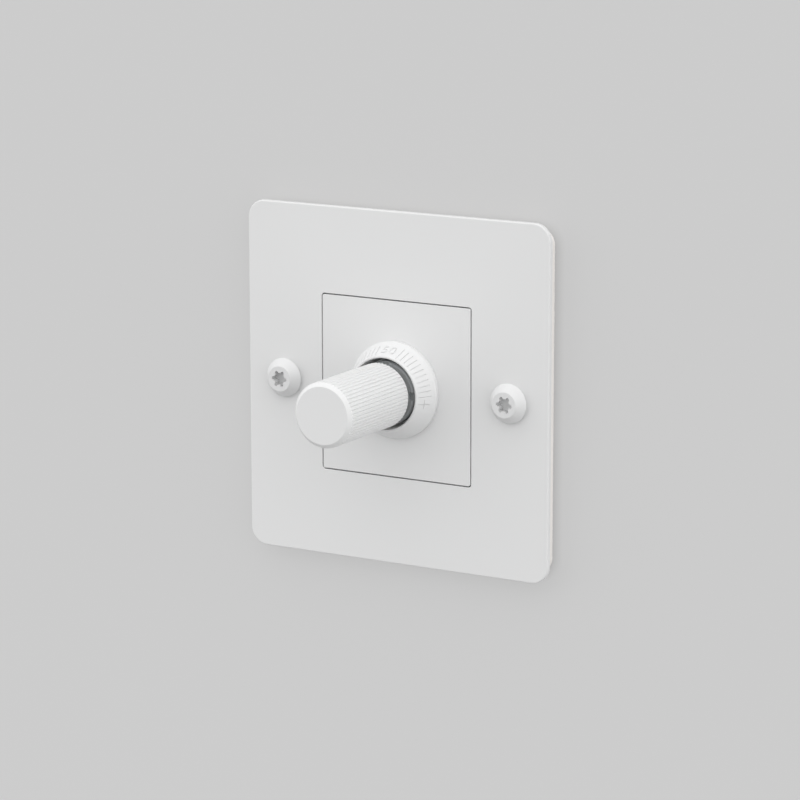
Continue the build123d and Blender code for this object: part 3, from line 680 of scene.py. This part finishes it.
def makeHousing():
    s = housing
    low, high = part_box("module_housing")
    half, backY = high.z, high.y
    innerY = backY - s["wall"]
    shell = makeHousingShell(low, high)
    for side in (-1, 1):
        x, z = side * carrier["bossX"], -side * carrier["bossZ"]
        boss = addPeg("boss", (x, low.y, z), (x, innerY + s["bossLap"], z), s["bossRadius"])
        reach = sorted((x, side * (half - s["webInset"])))
        web = addBox("web", (reach[0], low.y, z - s["bossRadius"] / 2),
                     (reach[1], innerY + s["bossLap"], z + s["bossRadius"] / 2))
        cutWith(boss, web, "UNION")
        cutWith(shell, boss, "UNION")
        cutWith(shell, addPeg("hole", (x, low.y - mm, z), (x, low.y + s["screwDeep"], z),
                              s["screwHole"], 32))
    for index in range(s["ventCount"]):
        cutWith(shell, ventCutter((index - (s["ventCount"] - 1) / 2) * s["ventPitch"], half))
    screwLow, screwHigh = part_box("terminal_screw_2")
    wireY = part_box("terminal_clamp_2")[0].y + s["wireBack"]
    for index in range(s["poleCount"]):
        x = (index - (s["poleCount"] - 1) / 2) * s["polePitch"]
        cutWith(shell, holeCutter(s["wireEntry"], s["wireFlare"], 3 * mm, (x, wireY, -half),
                                  (0, 0, -1)))
        place = (x, backY, (screwLow.z + screwHigh.z) / 2)
        cutWith(shell, holeCutter(s["driverHole"], s["driverFlare"], 3 * mm, place, (0, toWall, 0)))
    smooth(shell, 28)
    swapIn(shell, "base", "grey_housing", "module_housing")


makeHousing()
print("housing done")


# Slotted screws: two hold the housing and three are in the terminals

slottedScrew = {"slotWide": 0.6 * mm, "rounding": 0.25 * mm, "endEdge": 0.2 * mm,
                "terminalShank": 1.45 * mm, "terminalHead": 1.1 * mm,
                "housingShank": 1.2 * mm, "housingHead": 1.2 * mm}


def makeSlottedScrew(node, shankRadius, headHigh, facing):
    # turned with its head where the node's head is, and facing the same way
    s = slottedScrew
    low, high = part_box(node)
    headRadius = (high.x - low.x) / 2
    topY, endY = (high.y, low.y) if facing == toWall else (low.y, high.y)
    seatY = topY - facing * headHigh
    r = s["rounding"]
    screw = turnProfile("slotted", [
        (headRadius - r, topY), (headRadius - 0.3 * r, topY - facing * 0.3 * r),
        (headRadius, topY - facing * r), (headRadius, seatY), (shankRadius, seatY),
        (shankRadius, endY + facing * s["endEdge"]), (shankRadius - s["endEdge"], endY)], 48)
    slot = sorted((topY + facing * mm, topY - facing * headHigh / 2))
    cutWith(screw, addBox("slot", (-headRadius - mm, slot[0], -s["slotWide"] / 2),
                          (headRadius + mm, slot[1], s["slotWide"] / 2)))
    smooth(screw, 35)
    return screw


def placeSlottedScrews(screw, nodes):
    for node in nodes:
        low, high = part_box(node)
        shift = ((low.x + high.x) / 2, 0, (low.z + high.z) / 2)
        swapIn(copyOf(screw, "slotted_" + node, shift), "base", "zinc_steel", node)
    bpy.data.objects.remove(screw)


terminalScrew = makeSlottedScrew("terminal_screw_1", slottedScrew["terminalShank"],
                                 slottedScrew["terminalHead"], toWall)
placeSlottedScrews(terminalScrew, ["terminal_screw_1", "terminal_screw_2", "terminal_screw_3"])
housingScrew = makeSlottedScrew("housing_screw_1", slottedScrew["housingShank"],
                                slottedScrew["housingHead"], toRoom)
placeSlottedScrews(housingScrew, ["housing_screw_1", "housing_screw_2"])
print("slotted screws done")


# Finishes

def newMaterial(name):
    material = bpy.data.materials.new(name)
    material.use_nodes = True
    nodes = material.node_tree.nodes
    return material, nodes, material.node_tree.links, nodes["Principled BSDF"]


def addNode(nodes, kind, x, y, **settings):
    node = nodes.new(kind)
    node.location = (x, y)
    for key, value in settings.items():
        setattr(node, key, value)
    return node


def makeGrainGroup():
    # fine grain and broad clouds on a surface: scales are per metre
    group = bpy.data.node_groups.new("fineGrain", "ShaderNodeTree")
    side = group.interface
    side.new_socket("Grain Scale", in_out="INPUT", socket_type="NodeSocketFloat").default_value = 4000
    side.new_socket("Cloud Scale", in_out="INPUT", socket_type="NodeSocketFloat").default_value = 60
    side.new_socket("Stretch", in_out="INPUT", socket_type="NodeSocketVector").default_value = (1, 1, 1)
    side.new_socket("Tint", in_out="INPUT", socket_type="NodeSocketColor")
    side.new_socket("Tint Amount", in_out="INPUT", socket_type="NodeSocketFloat").default_value = 0.1
    side.new_socket("Base", in_out="INPUT", socket_type="NodeSocketColor")
    side.new_socket("Rough Low", in_out="INPUT", socket_type="NodeSocketFloat").default_value = 0.4
    side.new_socket("Rough High", in_out="INPUT", socket_type="NodeSocketFloat").default_value = 0.5
    side.new_socket("Color", in_out="OUTPUT", socket_type="NodeSocketColor")
    side.new_socket("Roughness", in_out="OUTPUT", socket_type="NodeSocketFloat")
    side.new_socket("Height", in_out="OUTPUT", socket_type="NodeSocketFloat")
    nodes, links = group.nodes, group.links
    entry = addNode(nodes, "NodeGroupInput", -900, 0)
    leave = addNode(nodes, "NodeGroupOutput", 500, 0)
    coordinates = addNode(nodes, "ShaderNodeTexCoord", -900, 300)
    stretched = addNode(nodes, "ShaderNodeMapping", -700, 300)
    grain = addNode(nodes, "ShaderNodeTexNoise", -450, 300)
    grain.inputs["Detail"].default_value = 3
    cloud = addNode(nodes, "ShaderNodeTexNoise", -450, 0)
    cloud.inputs["Detail"].default_value = 4
    tintShare = addNode(nodes, "ShaderNodeMath", -200, 0, operation="MULTIPLY")
    mix = addNode(nodes, "ShaderNodeMix", 100, 0, data_type="RGBA")
    rough = addNode(nodes, "ShaderNodeMapRange", 100, 250)
    links.new(coordinates.outputs["Object"], stretched.inputs["Vector"])
    links.new(entry.outputs["Stretch"], stretched.inputs["Scale"])
    links.new(stretched.outputs["Vector"], grain.inputs["Vector"])
    links.new(stretched.outputs["Vector"], cloud.inputs["Vector"])
    links.new(entry.outputs["Grain Scale"], grain.inputs["Scale"])
    links.new(entry.outputs["Cloud Scale"], cloud.inputs["Scale"])
    links.new(cloud.outputs["Fac"], tintShare.inputs[0])
    links.new(entry.outputs["Tint Amount"], tintShare.inputs[1])
    links.new(tintShare.outputs[0], mix.inputs["Factor"])
    links.new(entry.outputs["Base"], mix.inputs["A"])
    links.new(entry.outputs["Tint"], mix.inputs["B"])
    links.new(grain.outputs["Fac"], rough.inputs["Value"])
    links.new(entry.outputs["Rough Low"], rough.inputs["To Min"])
    links.new(entry.outputs["Rough High"], rough.inputs["To Max"])
    links.new(mix.outputs["Result"], leave.inputs["Color"])
    links.new(rough.outputs["Result"], leave.inputs["Roughness"])
    links.new(grain.outputs["Fac"], leave.inputs["Height"])
    return group


grainGroup = makeGrainGroup()

# each finish: base colour, a second tint that clouds over it, roughness range, scales, bump
finishes = {
    "white_plate": {"base": (0.745, 0.747, 0.747), "tint": (0.705, 0.707, 0.709), "amount": 0.25,
                    "rough": (0.42, 0.52), "grain": 3500, "cloud": 60, "bump": 0.06},
    "white_knob": {"base": (0.74, 0.742, 0.742), "tint": (0.7, 0.702, 0.705), "amount": 0.2,
                   "rough": (0.38, 0.48), "grain": 4000, "cloud": 90, "bump": 0.05},
    "white_ring": {"base": (0.74, 0.742, 0.743), "tint": (0.7, 0.702, 0.706), "amount": 0.2,
                   "rough": (0.38, 0.48), "grain": 4000, "cloud": 90, "bump": 0.05},
    "white_screw": {"base": (0.71, 0.712, 0.713), "tint": (0.67, 0.672, 0.676), "amount": 0.2,
                    "rough": (0.38, 0.48), "grain": 4000, "cloud": 120, "bump": 0.06},
    "frame_plastic": {"base": (0.87, 0.84, 0.81), "tint": (0.82, 0.79, 0.76), "amount": 0.3,
                      "rough": (0.5, 0.6), "grain": 5000, "cloud": 50, "bump": 0.08},
    "grey_housing": {"base": (0.42, 0.43, 0.44), "tint": (0.34, 0.35, 0.36), "amount": 0.4,
                     "rough": (0.5, 0.64), "grain": 3200, "cloud": 45, "bump": 0.18},
    "inner_plastic": {"base": (0.035, 0.036, 0.038), "tint": (0.06, 0.06, 0.062), "amount": 0.5,
                      "rough": (0.45, 0.6), "grain": 3600, "cloud": 90, "bump": 0.12},
    "zinc_steel": {"base": (0.62, 0.63, 0.65), "tint": (0.42, 0.44, 0.48), "amount": 0.8,
                   "rough": (0.24, 0.42), "grain": 900, "cloud": 260, "bump": 0.05, "metallic": 1.0},
    "black_steel": {"base": (0.44, 0.455, 0.465), "tint": (0.34, 0.355, 0.365), "amount": 0.6,
                    "rough": (0.5, 0.62), "grain": 2600, "cloud": 160, "bump": 0.06, "metallic": 0.3},
    "brass": {"base": (0.72, 0.5, 0.2), "tint": (0.55, 0.36, 0.13), "amount": 0.6,
              "rough": (0.22, 0.38), "grain": 2400, "cloud": 200, "bump": 0.05, "metallic": 1.0,
              "stretch": (1, 0.08, 1)},
    "aluminium": {"base": (0.78, 0.79, 0.8), "tint": (0.64, 0.65, 0.67), "amount": 0.6,
                  "rough": (0.26, 0.42), "grain": 2600, "cloud": 150, "bump": 0.06, "metallic": 1.0,
                  "stretch": (0.06, 1, 1)},
    "board": {"base": (0.02, 0.16, 0.07), "tint": (0.03, 0.22, 0.1), "amount": 0.8,
              "rough": (0.3, 0.4), "grain": 1800, "cloud": 300, "bump": 0.05},
    "film_yellow": {"base": (0.72, 0.5, 0.06), "tint": (0.6, 0.38, 0.04), "amount": 0.5,
                    "rough": (0.3, 0.42), "grain": 2600, "cloud": 120, "bump": 0.05},
    "copper": {"base": (0.7, 0.28, 0.12), "tint": (0.5, 0.16, 0.06), "amount": 0.6,
               "rough": (0.2, 0.34), "grain": 2400, "cloud": 240, "bump": 0.04, "metallic": 1.0},
    "ferrite": {"base": (0.05, 0.048, 0.047), "tint": (0.09, 0.085, 0.08), "amount": 0.6,
                "rough": (0.6, 0.75), "grain": 3800, "cloud": 240, "bump": 0.15},
    "ceramic_tube": {"base": (0.78, 0.76, 0.7), "tint": (0.7, 0.67, 0.6), "amount": 0.4,
                     "rough": (0.35, 0.5), "grain": 3600, "cloud": 200, "bump": 0.06},
}
bumpDistance = 0.02 * mm


def makeFinish(name, look):
    material, nodes, links, shader = newMaterial(name)
    shader.inputs["Metallic"].default_value = look.get("metallic", 0)
    grain = addNode(nodes, "ShaderNodeGroup", -500, 0, node_tree=grainGroup)
    grain.inputs["Grain Scale"].default_value = look["grain"]
    grain.inputs["Cloud Scale"].default_value = look["cloud"]
    grain.inputs["Stretch"].default_value = look.get("stretch", (1, 1, 1))
    grain.inputs["Base"].default_value = (*look["base"], 1)
    grain.inputs["Tint"].default_value = (*look["tint"], 1)
    grain.inputs["Tint Amount"].default_value = look["amount"]
    grain.inputs["Rough Low"].default_value = look["rough"][0]
    grain.inputs["Rough High"].default_value = look["rough"][1]
    bump = addNode(nodes, "ShaderNodeBump", -250, -200)
    bump.inputs["Strength"].default_value = look["bump"]
    bump.inputs["Distance"].default_value = bumpDistance
    links.new(grain.outputs["Color"], shader.inputs["Base Color"])
    links.new(grain.outputs["Roughness"], shader.inputs["Roughness"])
    links.new(grain.outputs["Height"], bump.inputs["Height"])
    links.new(bump.outputs["Normal"], shader.inputs["Normal"])
    return material


materials = {name: makeFinish(name, look) for name, look in finishes.items()}


def paint(piece, material):
    piece.data.materials.clear()
    piece.data.materials.append(material)


slotOf = {part["node"]: part["material_slot"] for part in frame["record"]["subparts"]}
for nodeName, nodeObject in frame["nodes"].items():
    paint(nodeObject, materials[slotOf[nodeName]])
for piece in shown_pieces():
    if "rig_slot" in piece:
        paint(piece, materials[piece["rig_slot"]])
print("finishes done")


# Wall and floor, light and camera

# the last three values set the painted contact shadow on the wall and floor: its glow, its reach and
# the occlusion at which it is darkest
stage = {"wallY": 0.1 * mm, "wallHalf": 0.17, "floorHalf": 0.6, "floorZ": -1.1, "holeRadius": 34 * mm,
         "colour": (0.217, 0.217, 0.217), "roughness": 0.9, "shine": 0.1, "glow": 0.396,
         "paintedShadowGlow": 0.3, "paintedShadowReach": 2.5 * mm, "paintedShadowFloor": 0.5}


def makeStageMaterial(name):
    # seen and lit from its front only, so that the back of the part can be looked at, with an even glow
    # that is turned down where something stands close: a painted contact shadow
    material, nodes, links, shader = newMaterial(name)
    shader.inputs["Base Color"].default_value = (*stage["colour"], 1)
    shader.inputs["Roughness"].default_value = stage["roughness"]
    shader.inputs["Specular IOR Level"].default_value = stage["shine"]
    shader.inputs["Emission Color"].default_value = (1, 1, 1, 1)
    # painted contact shadow: ambient occlusion within a few millimetres turns the glow of the wall and
    # floor down next to the part
    paintedShadow = addNode(nodes, "ShaderNodeAmbientOcclusion", -700, -300)
    paintedShadow.inputs["Distance"].default_value = stage["paintedShadowReach"]
    glow = addNode(nodes, "ShaderNodeMapRange", -400, -300)
    glow.inputs["From Min"].default_value = stage["paintedShadowFloor"]
    glow.inputs["To Min"].default_value = stage["paintedShadowGlow"]
    glow.inputs["To Max"].default_value = stage["glow"]
    links.new(paintedShadow.outputs["AO"], glow.inputs["Value"])
    links.new(glow.outputs["Result"], shader.inputs["Emission Strength"])
    geometry = addNode(nodes, "ShaderNodeNewGeometry", -300, 300)
    clear = addNode(nodes, "ShaderNodeBsdfTransparent", 0, 200)
    mix = addNode(nodes, "ShaderNodeMixShader", 350, 100)
    links.new(geometry.outputs["Backfacing"], mix.inputs["Fac"])
    links.new(shader.outputs["BSDF"], mix.inputs[1])
    links.new(clear.outputs["BSDF"], mix.inputs[2])
    links.new(mix.outputs["Shader"], nodes["Material Output"].inputs["Surface"])
    return material


def makeWall():
    # a square wall with a round hole for the device box
    s = stage
    bpy.ops.mesh.primitive_circle_add(vertices=96, radius=s["holeRadius"], location=(0, s["wallY"], 0),
                                      rotation=(quarterTurn, 0, 0))
    wall = bakePlace(bpy.context.object, "wall")
    editMode(wall, "EDGE")
    bpy.ops.mesh.select_all(action="SELECT")
    bpy.ops.mesh.extrude_edges_move(TRANSFORM_OT_translate={"value": (0, 0, 0)})
    grow = s["wallHalf"] / s["holeRadius"]
    bpy.ops.transform.resize(value=(grow, 1, grow), center_override=(0, s["wallY"], 0))
    objectMode()
    for vertex in wall.data.vertices:
        reach = max(abs(vertex.co.x), abs(vertex.co.z))
        if vertex.select:
            vertex.co.x *= s["wallHalf"] / reach
            vertex.co.z *= s["wallHalf"] / reach
    if wall.data.polygons[0].normal.y > 0:
        editMode(wall, "FACE")
        bpy.ops.mesh.select_all(action="SELECT")
        bpy.ops.mesh.flip_normals()
        objectMode()
    return wall


def makeStage():
    s = stage
    wall = makeWall()
    bpy.ops.mesh.primitive_plane_add(size=2 * s["floorHalf"], location=(0, 0, s["floorZ"]))
    floor = bakePlace(bpy.context.object, "floor")
    finish = makeStageMaterial("stage_paint")
    paint(wall, finish)
    paint(floor, finish)


makeStage()

# the studio's soft light: three very broad lights, two of them raised at the sides
studioLight = {"right": 1.71, "left": 1.61, "front": 0.34, "sideRise": 0.6, "backdrop": 0.6}


def makeLight():
    s = studioLight
    world = bpy.data.worlds.new("studio")
    bpy.context.scene.world = world
    world.use_nodes = True
    nodes, links = world.node_tree.nodes, world.node_tree.links
    direction = addNode(nodes, "ShaderNodeTexCoord", -1100, 0)
    sources = (((1, 0, s["sideRise"]), s["right"]), ((-1, 0, s["sideRise"]), s["left"]),
               ((0, -1, 0), s["front"]))
    level = None
    for index, (towards, strength) in enumerate(sources):
        facing = addNode(nodes, "ShaderNodeVectorMath", -900, -200 * index, operation="DOT_PRODUCT")
        facing.inputs[1].default_value = Vector(towards).normalized()
        share = addNode(nodes, "ShaderNodeMath", -700, -200 * index, operation="MAXIMUM")
        share.inputs[1].default_value = 0
        adding = addNode(nodes, "ShaderNodeMath", -450 + 150 * index, 100, operation="MULTIPLY_ADD")
        adding.inputs[1].default_value = strength
        adding.inputs[2].default_value = 0
        links.new(direction.outputs["Generated"], facing.inputs[0])
        links.new(facing.outputs["Value"], share.inputs[0])
        links.new(share.outputs[0], adding.inputs[0])
        if level:
            links.new(level, adding.inputs[2])
        level = adding.outputs[0]
    # the camera sees a plain backdrop instead of the light
    path = addNode(nodes, "ShaderNodeLightPath", 100, 300)
    seen = addNode(nodes, "ShaderNodeMix", 350, 100, data_type="FLOAT")
    seen.inputs["B"].default_value = s["backdrop"]
    links.new(path.outputs["Is Camera Ray"], seen.inputs["Factor"])
    links.new(level, seen.inputs["A"])
    background = nodes["Background"]
    background.inputs["Color"].default_value = (1, 1, 1, 1)
    links.new(seen.outputs["Result"], background.inputs["Strength"])
    bpy.context.scene.view_settings.view_transform = "Standard"


makeLight()

camera = {"lens": 150.06, "place": (0.37892, -0.66007, 0.15919), "yaw": 30.515, "pitch": 10.463,
          "roll": -6.027}


def makeCamera():
    s = camera
    bpy.ops.object.camera_add()
    view = bpy.context.object
    view.data.lens = s["lens"]
    view.data.sensor_width = 36
    view.data.clip_start = 0.01
    turn = (Matrix.Rotation(math.radians(s["roll"]), 4, "Y")
            @ Matrix.Rotation(-math.radians(s["pitch"]), 4, "X")
            @ Matrix.Rotation(math.radians(s["yaw"]), 4, "Z")
            @ Matrix.Rotation(quarterTurn, 4, "X"))
    view.matrix_world = Matrix.Translation(s["place"]) @ turn
    bpy.context.scene.camera = view


makeCamera()
print("stage, light and camera done")
